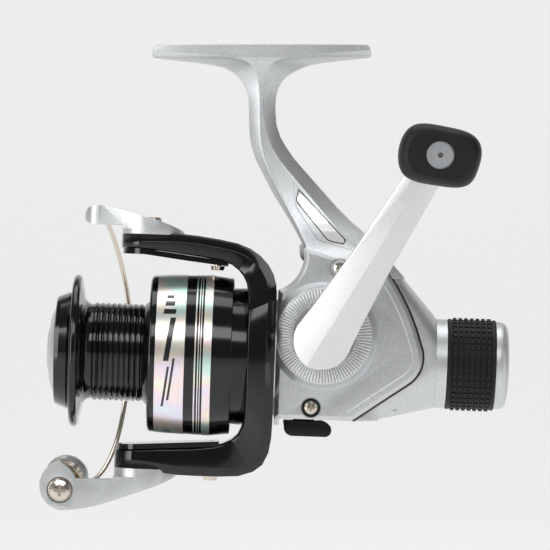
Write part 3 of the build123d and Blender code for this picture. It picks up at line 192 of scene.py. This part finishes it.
LOOK = {
    "silver_paint": speckled("silver_paint", (0.60, 0.615, 0.625), 0.84, 0.42, flake=0.2,
                             flake_scale=4200),
    "bright_silver": speckled("bright_silver", (0.68, 0.69, 0.695), 0.85, 0.44, flake=0.12, flake_scale=4200),
    "gloss_black": speckled("gloss_black", (0.0025, 0.0025, 0.003), 0.0, 0.14, flake=0.2, coat=0.55,
                            peel=0.06, specular=0.22),
    "black_anodised": speckled("black_anodised", (0.0025, 0.0025, 0.003), 0.0, 0.13, flake=0.2, coat=0.6,
                               peel=0.03, specular=0.22),
    "nickel": turned_metal("nickel", (0.66, 0.60, 0.52), 0.2, (1500, 1500, 1500)),
    "steel": turned_metal("steel", (0.58, 0.57, 0.55), 0.3),
    "zinc_gear": speckled("zinc_gear", (0.45, 0.46, 0.47), 0.9, 0.45),
    "brass": turned_metal("brass", (0.72, 0.52, 0.24), 0.25),
    "black_plastic": soft_plastic("black_plastic", (0.005, 0.005, 0.006), 0.3, specular=0.3),
    "white_plastic": soft_plastic("white_plastic", (0.75, 0.75, 0.72), 0.45),
    "grip_rubber": soft_plastic("grip_rubber", (0.007, 0.007, 0.008), 0.55, specular=0.3),
    "knob_rubber": soft_plastic("knob_rubber", (0.010, 0.010, 0.011), 0.50, specular=0.25),
    "grey_cap": soft_plastic("grey_cap", (0.28, 0.29, 0.30), 0.42),
    "felt": soft_plastic("felt", (0.30, 0.28, 0.25), 0.95, 5000, 0.0001),
    "window_chrome": speckled("window_chrome", (0.93, 0.935, 0.94), 0.45, 0.16, flake=0.03, coat=0.8,
                              peel=0.03),
    # painted shade: near-black plastic laid along the cover seam, round the stem window and in the screw
    # recesses, standing in for the shade in those gaps
    "painted_seam_shade": soft_plastic("painted_seam_shade", (0.018, 0.018, 0.020), 0.6, specular=0.2),
    # painted shade: a darker grey copy of the silver paint, laid on the window recess outline and the screw
    # rims where shade falls in the creases
    "painted_crease_shade": speckled("painted_crease_shade", (0.34, 0.35, 0.36), 0.6, 0.45, flake=0.1),
}
SLOTS = {part["node"]: part["material_slot"] for part in frame["record"]["subparts"]}


def dress(piece, slot_name):
    """Gives a piece the material of a record slot."""
    piece.data.materials.clear()
    piece.data.materials.append(LOOK[slot_name])


for node_name, node in NODES.items():
    dress(node, SLOTS[node_name])
    for polygon in node.data.polygons:
        polygon.material_index = 0

# ---- mesh building ---------------------------------------------------------------------------
def piece_of(name, mesh, body, look, smooth=True):
    """Links a mesh as a piece that rides on a body."""
    made = bpy.data.objects.new(name, mesh)
    bpy.context.scene.collection.objects.link(made)
    for polygon in mesh.polygons:
        polygon.use_smooth = smooth
    mesh.materials.clear()
    mesh.materials.append(LOOK[look])
    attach(made, body)
    return made


def mesh_of(name, points, faces):
    """Mesh from mechanism-frame millimetre points, with outward normals."""
    mesh = bpy.data.meshes.new(name)
    mesh.from_pydata([at(*p) for p in points], [], faces)
    shape = bmesh.new()
    shape.from_mesh(mesh)
    bmesh.ops.recalc_face_normals(shape, faces=shape.faces)
    shape.to_mesh(mesh)
    shape.free()
    return mesh


def skin(name, sections, closed=True, caps=True):
    """Mesh over a list of equal-length point rings."""
    count = len(sections[0])
    points = [p for section in sections for p in section]
    faces = []
    for i in range(len(sections) - 1):
        for j in range(count if closed else count - 1):
            k = (j + 1) % count
            faces.append((i * count + j, i * count + k, (i + 1) * count + k, (i + 1) * count + j))
    if caps:
        faces.append(tuple(range(count - 1, -1, -1)))
        faces.append(tuple(len(points) - count + j for j in range(count)))
    return mesh_of(name, points, faces)


def lathe(name, profile, segments=128, closed=True):
    """Mesh turned about the spool axis from (x, radius) points."""
    sections = []
    for x, radius in profile + ([profile[0]] if closed else []):
        sections.append([(x, radius * math.sin(2 * math.pi * k / segments),
                          radius * math.cos(2 * math.pi * k / segments)) for k in range(segments)])
    mesh = skin(name, sections, caps=False)
    shape = bmesh.new()
    shape.from_mesh(mesh)
    bmesh.ops.remove_doubles(shape, verts=shape.verts, dist=1e-6)
    bmesh.ops.recalc_face_normals(shape, faces=shape.faces)
    shape.to_mesh(mesh)
    shape.free()
    return mesh


def round_edges(piece, width, angle=25, segments=3):
    """Rounds a piece's sharp edges with a bevel modifier."""
    bevel = piece.modifiers.new("round", "BEVEL")
    bevel.width = width * MM
    bevel.segments = segments
    bevel.limit_method = "ANGLE"
    bevel.angle_limit = math.radians(angle)
    bevel.harden_normals = False
    return piece


def between(table, value):
    """Linear interpolation in a table of (value, result) rows, which rise."""
    for (v0, r0), (v1, r1) in zip(table, table[1:]):
        if value <= v1:
            share = max(0.0, (value - v0) / (v1 - v0))
            return r0 + (r1 - r0) * share
    return table[-1][1]


def softened(node_name, width, angle=28, keep=None, look=None):
    """Stands for a CAD node: its own mesh with flat areas joined and the sharp edges rounded."""
    source = NODES[node_name]
    mesh = source.data.copy()
    shape = bmesh.new()
    shape.from_mesh(mesh)
    bmesh.ops.remove_doubles(shape, verts=shape.verts, dist=2e-6)
    if keep:
        gone = [f for f in shape.faces if not keep(f.calc_center_median() / MM)]
        bmesh.ops.delete(shape, geom=gone, context="FACES")
    bmesh.ops.dissolve_limit(shape, angle_limit=math.radians(0.6), verts=shape.verts, edges=shape.edges)
    shape.to_mesh(mesh)
    shape.free()
    mesh.name = node_name + "_soft"
    slot_name = SLOTS[node_name]
    made = piece_of(node_name + "_soft", mesh, source["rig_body"], look or slot_name)
    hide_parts(node_name)
    return round_edges(made, width, angle, 3)


# ---- spool label: foil bands round the skirt ---------------------------------------------------
def foil_material():
    """Pale holographic foil: pastel tints that drift slowly, with fine streaks."""
    made, tree, shader = material("label_foil", 0.85)
    where = coordinates(tree)
    stretch = tree.nodes.new("ShaderNodeMapping")
    stretch.inputs["Scale"].default_value = (70, 70, 95)
    tree.links.new(where, stretch.inputs["Vector"])
    drift = noise(tree, stretch.outputs["Vector"], 1.0, 2.0, 0.5)
    rainbow = ramp(tree, drift, [(0.28, (0.72, 0.90, 0.88)), (0.38, (0.66, 0.92, 0.82)),
                                 (0.46, (0.86, 0.90, 0.84)), (0.52, (0.96, 0.91, 0.76)),
                                 (0.58, (0.96, 0.80, 0.78)), (0.66, (0.86, 0.80, 0.93)),
                                 (0.76, (0.78, 0.89, 0.94))])
    streaks = noise(tree, where, 5200, 2.0)
    mix = tree.nodes.new("ShaderNodeMix")
    mix.data_type = "RGBA"
    mix.blend_type = "MULTIPLY"
    mix.inputs["Factor"].default_value = 0.5
    tree.links.new(rainbow, mix.inputs["A"])
    tree.links.new(ramp(tree, streaks, [(0.35, (0.7, 0.7, 0.7)), (0.65, (1, 1, 1))]), mix.inputs["B"])
    tree.links.new(mix.outputs["Result"], shader.inputs["Base Color"])
    tree.links.new(span(tree, streaks, 0.24, 0.36), shader.inputs["Roughness"])
    bump(tree, shader, streaks, 0.000004, 0.3)
    return made


LOOK["label_foil"] = foil_material()
LOOK["label_ink"] = speckled("label_ink", (0.01, 0.01, 0.012), 0.0, 0.22, coat=0.6, peel=0.03)


SKIRT = [(-52, 23.3), (-50.9, 23.45), (-46.2, 23.67), (-41.5, 23.85), (-37.2, 23.95), (-32.9, 24.0)]
FILM_LIFT = 0.04           # label above the skirt
INK_LIFT = 0.07


def skirt_radius(x):
    """Radius of the spool's skirt."""
    return between(SKIRT, x)


def band(name, x0, x1, lift, look, start=0.0, sweep=360.0, steps=180):
    """A film of label round the skirt."""
    sections = []
    across = 6
    for k in range(steps + 1):
        angle = math.radians(start + sweep * k / steps)
        row = []
        for i in range(across + 1):
            x = x0 + (x1 - x0) * i / across
            radius = skirt_radius(x) + lift
            row.append((x, -radius * math.cos(angle), radius * math.sin(angle)))
        sections.append(row)
    return piece_of(name, skin(name, sections, closed=False, caps=False), "spool", look)


band("label_wide_band", -49.7, -41.0, FILM_LIFT, "label_foil")
for number, (x0, x1) in enumerate([(-38.05, -37.65), (-37.05, -36.75), (-36.35, -36.1), (-35.5, -33.1)]):
    band(f"label_line_{number + 1}", x0, x1, FILM_LIFT, "label_foil")


def label_mark(name, angle0, angle1, x0, x1, slant):
    """A slanted bar of ink on the wide band."""
    sections = []
    for k in range(9):
        share = k / 8
        angle = math.radians(angle0 + (angle1 - angle0) * share)
        row = []
        for x in (x0 + slant * share, x0 + (x1 - x0) / 2 + slant * share, x1 + slant * share):
            radius = skirt_radius(x) + INK_LIFT
            row.append((x, -radius * math.cos(angle), radius * math.sin(angle)))
        sections.append(row)
    mesh = skin(name, sections, closed=False, caps=False)
    return piece_of(name, mesh, "spool", "label_ink")


for face in range(3):
    middle = face * 120.0 + 4
    for number, (low, high, x0, x1, slant) in enumerate([
            (-44, -12, -47.6, -46.9, 1.6), (-38, -6, -46.0, -45.3, 1.6), (-8, 24, -47.2, -45.6, 1.8),
            (27, 31, -47.6, -44.0, 0.2), (34, 38, -47.2, -44.4, 0.2), (41, 44, -46.8, -44.8, 0.2)]):
        label_mark(f"label_mark_{face + 1}_{number + 1}", middle + low, middle + high, x0, x1, slant)

# ---- ribbed face of the crank boss -------------------------------------------------------------
RIBS = 88
CRANK_Z = 7.2
FLANGE_X = -13.8
BOSS_LIFT = 0.03
RIB_RINGS = [(14.35, 16.3, 0.0), (14.05, 16.42, 0.15), (13.8, 16.48, 0.38), (12.0, 16.68, 0.42),
             (10.4, 16.88, 0.42), (9.9, 16.95, 0.3), (9.6, 16.98, 0.0)]
rib_sections = []
for radius, depth, height in RIB_RINGS:
    ring_points = []
    for k in range(RIBS):
        for share, rise in ((0.0, 0.0), (0.10, 0.75), (0.22, 1.0), (0.42, 1.0), (0.62, 1.0), (0.74, 0.75),
                            (0.84, 0.0), (0.92, -0.25)):
            angle = 2 * math.pi * (k + share) / RIBS
            x = radius * math.cos(angle)
            z = CRANK_Z + radius * math.sin(angle)
            ring_points.append((max(x, FLANGE_X), -depth - BOSS_LIFT - height * rise, z))
    rib_sections.append(ring_points)
piece_of("crank_boss_ribs", skin("crank_boss_ribs", rib_sections, caps=False), "root", "bright_silver")

# ---- rotor: bevelled yoke, drum and hub --------------------------------------------------------
YOKE = [  # outer x, z; inner x, z; half depth; how far the inner edge falls back
    (-61.3, 35.5, -61.3, 31.3, 1.3, 0.2), (-60.8, 35.5, -60.8, 31.3, 3.3, 0.3),
    (-59.8, 35.6, -59.8, 31.3, 5.1, 0.3), (-58.2, 35.7, -58.2, 31.25, 6.9, 0.3),
    (-56.0, 35.85, -56.0, 31.2, 8.4, 0.3), (-53.5, 35.95, -53.5, 31.1, 8.95, 0.3),
    (-50.0, 36.05, -50.0, 30.8, 9.0, 0.3), (-44.0, 36.1, -44.0, 30.1, 9.0, 0.3),
    (-38.0, 35.6, -37.0, 29.3, 9.0, 0.3), (-32.0, 34.8, -31.5, 28.6, 9.0, 0.35),
    (-26.5, 33.8, -28.0, 27.3, 9.05, 0.4), (-22.6, 32.3, -26.0, 25.8, 9.4, 0.5),
    (-19.6, 30.3, -24.6, 24.2, 10.6, 0.6), (-17.2, 27.8, -23.5, 22.1, 12.6, 0.6),
    (-15.5, 24.9, -22.95, 19.6, 15.2, 0.6), (-14.6, 21.6, -22.8, 17.0, 17.6, 0.6),
    (-14.35, 17.5, -22.8, 13.8, 19.4, 0.6), (-14.35, 12.0, -22.8, 9.5, 20.7, 0.6),
    (-14.35, 6.0, -22.8, 5.0, 21.2, 0.6), (-14.35, 0.0, -22.8, 0.0, 21.3, 0.6),
    (-14.35, -6.0, -22.8, -5.0, 21.2, 0.6), (-14.35, -12.5, -22.8, -9.5, 20.6, 0.6),
    (-14.35, -18.5, -22.8, -13.5, 19.0, 0.6), (-14.5, -23.5, -22.9, -17.0, 16.4, 0.6),
    (-15.2, -28.2, -23.4, -20.2, 13.2, 0.6), (-16.9, -31.9, -24.6, -23.0, 10.9, 0.6),
    (-19.6, -34.1, -26.4, -24.7, 9.7, 0.6), (-24.0, -35.6, -28.9, -25.9, 9.1, 0.5),
    (-29.5, -35.95, -31.8, -26.8, 9.0, 0.4), (-36.0, -36.0, -37.0, -27.5, 9.0, 0.3),
    (-42.5, -35.9, -42.5, -27.9, 9.0, 0.3), (-48.0, -35.2, -48.0, -28.2, 9.0, 0.3),
    (-53.5, -34.6, -53.5, -28.6, 8.95, 0.3), (-56.0, -34.5, -56.0, -28.7, 8.4, 0.3),
    (-58.2, -34.4, -58.2, -28.8, 6.9, 0.3), (-59.8, -34.35, -59.8, -28.9, 5.1, 0.3),
    (-60.8, -34.3, -60.8, -28.95, 3.3, 0.3), (-61.3, -34.3, -61.3, -29.0, 1.3, 0.2)]
yoke_sections = []
for outer_x, outer_z, inner_x, inner_z, depth, fall in YOKE:
    width = math.hypot(outer_x - inner_x, outer_z - inner_z)
    ridge = 1 - (2.6 + max(0.0, fall - 0.5) * 1.5) / width
    bevel_depth = min(1.7, depth * 0.45)

    def across(share):
        """Point at a share of the way from the inner to the outer edge."""
        return inner_x + (outer_x - inner_x) * share, inner_z + (outer_z - inner_z) * share

    section = []
    for share, y in ((0.0, -(depth - fall - 0.5)), (0.07, -(depth - fall)), (ridge, -depth),
                     (1.0, -(depth - bevel_depth)), (1.0, depth - bevel_depth), (ridge, depth),
                     (0.07, depth - fall), (0.0, depth - fall - 0.5)):
        x, z = across(share)
        section.append((x, y, z))
    yoke_sections.append(section)
yoke = piece_of("rotor_yoke", skin("rotor_yoke", yoke_sections), "rotor", "gloss_black")
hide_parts("rotor")
round_edges(yoke, 0.5, 12, 3)
piece_of("rotor_drum", lathe("rotor_drum", [
    (-45.0, 18.7), (-45.0, 20.3), (-44.8, 20.5), (-14.55, 20.5), (-14.35, 20.3), (-14.35, 18.3),
    (-14.5, 18.2),
    (-21.7, 18.2), (-21.7, 3.0), (-30.0, 3.0), (-30.0, 6.5), (-25.6, 6.5), (-25.6, 18.7)]), "rotor",
    "gloss_black")

# ---- foot and stem: one loft in the row frame, with softened ridges ----------------------------
def row_skin(name, sections):
    """Closed loft over rings of row-frame millimetre points."""
    count = len(sections[0])
    points = [Vector(p) * MM for section in sections for p in section]
    faces = [tuple(range(count)), tuple(len(points) - 1 - j for j in range(count))]
    for i in range(len(sections) - 1):
        for j in range(count):
            k = (j + 1) % count
            faces.append((i * count + j, i * count + k, (i + 1) * count + k, (i + 1) * count + j))
    mesh = bpy.data.meshes.new(name)
    mesh.from_pydata(points, [], faces)
    shape = bmesh.new()
    shape.from_mesh(mesh)
    bmesh.ops.recalc_face_normals(shape, faces=shape.faces)
    shape.to_mesh(mesh)
    shape.free()
    return mesh


def foot_half_width(x):
    """Half width of the foot's lens-shaped plan at x."""
    return 8.5 - x * x / 210.8


# height, left edge, left ridge, right ridge, right edge, half thickness at the ridge and the edge;
# the half thickness at the ridge follows the foot's plan where it is None
STEM = [
    (0.0, -31.4, -31.3, 31.3, 31.4, None, 3.0), (-0.45, -32.1, -31.9, 31.9, 32.1, None, 3.2),
    (-1.7, -32.5, -32.2, 32.2, 32.5, None, 3.3), (-2.2, -32.7, -27.5, 27.0, 32.7, None, 3.0),
    (-2.8, -32.8, -20.5, 20.0, 32.8, None, 2.7), (-3.4, -32.9, -14.0, 13.2, 32.8, None, 2.5),
    (-3.75, -32.4, -10.5, 9.9, 31.6, None, 2.4), (-4.1, -29.5, -7.8, 7.2, 28.4, None, 2.4),
    (-4.6, -25.0, -6.1, 5.6, 23.6, 8.1, 2.5), (-5.2, -19.4, -4.7, 4.2, 18.4, 7.8, 2.6),
    (-5.9, -14.8, -3.6, 3.1, 14.6, 7.45, 2.7), (-6.8, -11.3, -2.8, 2.4, 12.0, 7.1, 2.8),
    (-7.9, -9.0, -2.1, 1.8, 9.7, 6.8, 2.9), (-9.2, -7.3, -1.6, 1.3, 7.6, 6.45, 2.9),
    (-10.8, -5.9, -1.2, 1.0, 6.0, 6.1, 2.9), (-12.6, -4.95, -0.95, 0.8, 5.0, 5.75, 2.8),
    (-14.6, -4.3, -0.85, 0.7, 4.4, 5.5, 2.6), (-17.0, -3.95, -0.8, 0.7, 4.1, 5.3, 2.4),
    (-20.0, -3.85, -0.8, 0.75, 4.05, 5.15, 2.3), (-24.0, -3.8, -0.7, 1.0, 4.4, 5.1, 2.2),
    (-27.5, -3.6, -0.55, 1.75, 5.5, 5.15, 2.2), (-30.5, -3.1, -0.2, 2.9, 7.2, 5.3, 2.3),
    (-34.0, -2.0, 0.65, 4.9, 9.6, 5.5, 2.4), (-37.5, -0.3, 1.95, 7.6, 12.6, 5.85, 2.6),
    (-41.0, 1.5, 3.6, 10.6, 15.7, 6.25, 2.9), (-45.0, 3.6, 5.5, 14.0, 19.2, 6.9, 3.5),
    (-49.0, 6.1, 7.6, 17.4, 22.7, 7.7, 4.3), (-53.0, 8.6, 9.8, 20.9, 26.7, 8.8, 5.4),
    (-56.5, 10.6, 11.5, 24.0, 30.7, 10.2, 6.6), (-59.5, 12.0, 12.9, 26.7, 33.8, 11.8, 8.0),
    (-62.5, 12.6, 13.6, 29.4, 36.4, 13.0, 9.4), (-66.0, 12.9, 13.9, 32.2, 39.2, 13.8, 10.6),
    (-70.0, 13.0, 14.0, 35.2, 42.6, 13.9, 11.6)]
CROSS = 8
stem_sections = []
for height, left, ridge_left, ridge_right, right, thick, edge in STEM:
    front = [(left, -edge, height)]
    for k in range(CROSS + 1):
        x = ridge_left + (ridge_right - ridge_left) * k / CROSS
        front.append((x, -(thick or foot_half_width(x)), height))
    front.append((right, -edge, height))
    stem_sections.append(front + [(x, -y, z) for x, y, z in reversed(front)])
stem_mesh = row_skin("foot_and_stem", stem_sections)
stem = piece_of("foot_and_stem", stem_mesh, "root", "silver_paint")
round_edges(stem, 0.45, 14, 3)


def below_stem(centre):
    """Keeps the gearbox of the housing and leaves out its stem and foot."""
    return centre.z < -60.0 and not (centre.z > -66.0 and 13.2 < centre.x < 36.0 and abs(centre.y) < 11.0)


STEM_DEPTH = [(-height, thick) for height, *_, thick, edge in STEM if thick]
WINDOW = [(11.0, -43.7), (24.7, -58.6), (24.1, -59.5), (19.8, -58.6), (10.4, -46.7)]
WINDOW_FRAME = [(9.4, -41.2), (26.8, -61.5), (16.8, -58.6), (10.2, -48.4)]


def grown(outline, amount):
    """An outline whose edges are all moved outwards by an amount."""
    following = outline[1:] + outline[:1]
    area = sum(x0 * z1 - x1 * z0 for (x0, z0), (x1, z1) in zip(outline, following))
    turn = 1 if area > 0 else -1
    normals = []
    for (x0, z0), (x1, z1) in zip(outline, following):
        length = math.hypot(x1 - x0, z1 - z0)
        normals.append((turn * (z1 - z0) / length, -turn * (x1 - x0) / length))
    moved = []
    for k, (x, z) in enumerate(outline):
        (ax, az), (bx, bz) = normals[k - 1], normals[k]
        reach = amount / max(0.45, 1 + ax * bx + az * bz)
        moved.append((x + (ax + bx) * reach, z + (az + bz) * reach))
    return moved


def crossings(outline, z):
    """Lowest and highest x of an outline at one height."""
    found = []
    for (x0, z0), (x1, z1) in zip(outline, outline[1:] + outline[:1]):
        if z0 != z1 and min(z0, z1) <= z <= max(z0, z1):
            found.append(x0 + (x1 - x0) * (z - z0) / (z1 - z0))
    return min(found), max(found)


def stem_patch(name, outline, lift, side, look):
    """A pane that lies on the stem's flank, lifted by an amount."""
    top, low = max(z for x, z in outline), min(z for x, z in outline)
    rows = 26
    points, faces = [], []
    for k in range(rows + 1):
        z = top + (low - top) * (0.002 + 0.996 * k / rows)
        x0, x1 = crossings(outline, z)
        y = side * (between(STEM_DEPTH, -z) + lift)
        points += [Vector((x0, y, z)) * MM, Vector((x1, y, z)) * MM]
    for k in range(rows):
        a = 2 * k
        faces.append((a, a + 1, a + 3, a + 2) if side > 0 else (a, a + 2, a + 3, a + 1))
    mesh = bpy.data.meshes.new(name)
    mesh.from_pydata(points, [], faces)
    return piece_of(name, mesh, "root", look)


# the grey recess outline and the dark rim round each window are painted shade; the border and the pane are
# the window's own colours
for side, label in ((-1, "near"), (1, "far")):
    stem_patch(f"window_recess_painted_shade_{label}", grown(WINDOW_FRAME, 0.22), 0.03, side, "painted_crease_shade")
    stem_patch(f"window_border_{label}", WINDOW_FRAME, 0.06, side, "silver_paint")
    stem_patch(f"window_rim_painted_shade_{label}", grown(WINDOW, 0.32), 0.10, side, "painted_seam_shade")
    stem_patch(f"window_pane_{label}", WINDOW, 0.16, side, "window_chrome")


def ribbon(name, path, inner, outer, look):
    """A strip along a cover outline between two (offset, depth) edges; depth None lies on the housing."""
    rows = []
    for k, (x, z) in enumerate(path):
        before, after = path[max(0, k - 1)], path[min(len(path) - 1, k + 1)]
        run_x, run_z = after[0] - before[0], after[1] - before[1]
        length = math.hypot(run_x, run_z)
        out_x, out_z = run_z / length, -run_x / length
        row = []
        for offset, depth in (inner, outer):
            px, pz = x + out_x * offset, z + out_z * offset
            housing = 11.6 + 1.6 * max(0.0, min(1.0, (px - 15.0) / 17.2)) + 0.06
            row.append((px, -(housing if depth is None else depth), pz))
        rows.append(row)
    return piece_of(name, skin(name, rows, closed=False, caps=False), "root", look)


def arc_through(a, b, c, steps):
    """Points on the circle through three points, from the first to the last."""
    (ax, az), (bx, bz), (cx, cz) = a, b, c
    turn = 2 * (ax * (bz - cz) + bx * (cz - az) + cx * (az - bz))
    a2, b2, c2 = ax * ax + az * az, bx * bx + bz * bz, cx * cx + cz * cz
    ox = (a2 * (bz - cz) + b2 * (cz - az) + c2 * (az - bz)) / turn
    oz = (a2 * (cx - bx) + b2 * (ax - cx) + c2 * (bx - ax)) / turn
    radius = math.hypot(ax - ox, az - oz)
    start, end = math.atan2(az - oz, ax - ox), math.atan2(cz - oz, cx - ox)
    return [(ox + radius * math.cos(start + (end - start) * k / steps),
             oz + radius * math.sin(start + (end - start) * k / steps)) for k in range(steps + 1)]


COVER_EDGE = [(9.4, -17.75), (14.7, -13.97), (20.0, -10.2), (25.4, -6.4)]
COVER_EDGE += arc_through((25.4, -6.4), (28.9, -2.2), (28.8, 5.6), 16)[1:]
COVER_EDGE += arc_through((28.8, 5.6), (24.4, 16.8), (18.3, 26.8), 16)[1:]
# painted shade: a near-black strip along the cover's outline stands in for the shade in the seam between
# cover and housing
ribbon("cover_seam_painted_shade", COVER_EDGE, (-0.05, 13.1), (0.42, None), "painted_seam_shade")
# painted highlight: a bright silver strip inside the outline stands in for the light caught along the cover's
# soft crease
ribbon("cover_crease_painted_highlight", COVER_EDGE, (-3.35, 14.22), (-2.85, 14.34), "bright_silver")


def recess_ring(name, x, z, inside, outside, depth, look):
    """A flat ring round a screw."""
    rows = [[(x + r * math.cos(2 * math.pi * k / 48), -depth, z + r * math.sin(2 * math.pi * k / 48))
             for k in range(48)] for r in (inside, outside)]
    return piece_of(name, skin(name, rows, caps=False), "root", look)


# painted shade: a near-black ring inside each screw recess and a grey ring on its rim
for number, (x, z) in enumerate(((4.0, 27.3), (-3.1, -14.2))):
    recess_ring(f"screw_recess_painted_shade_{number + 1}", x, z, 2.12, 2.83, 13.06, "painted_seam_shade")
    recess_ring(f"screw_rim_painted_shade_{number + 1}", x, z, 2.80, 3.10, 14.24, "painted_crease_shade")

softened("main_housing", 0.5, 24, keep=below_stem)
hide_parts("main_housing")
softened("side_cover", 0.35, 24)
softened("upper_bail_arm", 0.8, 24)
softened("roller_bail_arm", 0.8, 24)
softened("handle_arm", 0.45, 20, look="bright_silver")
softened("anti_reverse_lever", 0.3, 24)
softened("drag_end_cap", 0.3, 30)

# ---- studio ----------------------------------------------------------------------------------
def look_at(thing, target):
    """Turns a lamp so that it faces a point."""
    direction = Vector(target) - thing.location
    thing.rotation_euler = direction.to_track_quat("-Z", "Y").to_euler()


camera_data = bpy.data.cameras.new("camera")
camera = bpy.data.objects.new("camera", camera_data)
bpy.context.scene.collection.objects.link(camera)
camera.location = (0.0039, -1.2, -0.0689)
camera.rotation_euler = (math.pi / 2, 0, 0)
camera_data.sensor_width = 36
camera_data.lens = 261.8
camera_data.clip_start = 0.01
bpy.context.scene.camera = camera


def lamp(name, place, target, size, power, colour=(1, 1, 1)):
    """A rectangular softbox."""
    data = bpy.data.lights.new(name, "AREA")
    data.shape = "RECTANGLE"
    data.size, data.size_y = size
    data.energy = power
    data.color = colour
    made = bpy.data.objects.new(name, data)
    made.location = place
    bpy.context.scene.collection.objects.link(made)
    look_at(made, target)
    return made


CENTRE = (0.0, 0, -0.07)
lamp("front_softbox", (-0.05, -0.85, 0.50), CENTRE, (0.9, 0.30), 3.5)
lamp("left_softbox", (-0.85, -0.45, 0.15), CENTRE, (0.35, 0.9), 4.6)
lamp("right_softbox", (0.9, -0.55, 0.05), CENTRE, (0.3, 0.9), 0.8)
lamp("top_softbox", (0.0, 0.1, 0.75), CENTRE, (0.9, 0.6), 4.0)
lamp("low_softbox", (0.1, -0.8, -0.62), CENTRE, (0.9, 0.16), 0.6)

world = bpy.data.worlds.new("studio")
world.use_nodes = True
world.node_tree.nodes["Background"].inputs["Color"].default_value = (0.83, 0.835, 0.84, 1)
world.node_tree.nodes["Background"].inputs["Strength"].default_value = 0.20
bpy.context.scene.world = world
bpy.context.scene.view_settings.view_transform = "Standard"

floor_mesh = bpy.data.meshes.new("floor")
shape = bmesh.new()
STEPS = 24
rows = []
FLOOR_Z, WALL_Y, BEND = -0.30, 3.0, 0.8
profile = [(-4.0, FLOOR_Z), (WALL_Y - BEND, FLOOR_Z)]
for i in range(1, STEPS + 1):
    angle = i / STEPS * math.pi / 2
    profile.append((WALL_Y - BEND + BEND * math.sin(angle), FLOOR_Z + BEND - BEND * math.cos(angle)))
profile.append((WALL_Y, 2.5))
for x in (-4.0, 4.0):
    rows.append([shape.verts.new((x, y, z)) for y, z in profile])
for a, b, c, d in zip(rows[0], rows[0][1:], rows[1][1:], rows[1]):
    shape.faces.new((a, d, c, b))
shape.to_mesh(floor_mesh)
shape.free()
floor = bpy.data.objects.new("floor", floor_mesh)
bpy.context.scene.collection.objects.link(floor)
for polygon in floor_mesh.polygons:
    polygon.use_smooth = True
sweep, _, sweep_shader = material("studio_sweep", specular=0.1)
sweep_shader.inputs["Base Color"].default_value = (0.5, 0.5, 0.5, 1)
sweep_shader.inputs["Roughness"].default_value = 0.9
sweep_shader.inputs["Emission Color"].default_value = (0.84, 0.84, 0.84, 1)
sweep_shader.inputs["Emission Strength"].default_value = 0.765
floor_mesh.materials.append(sweep)
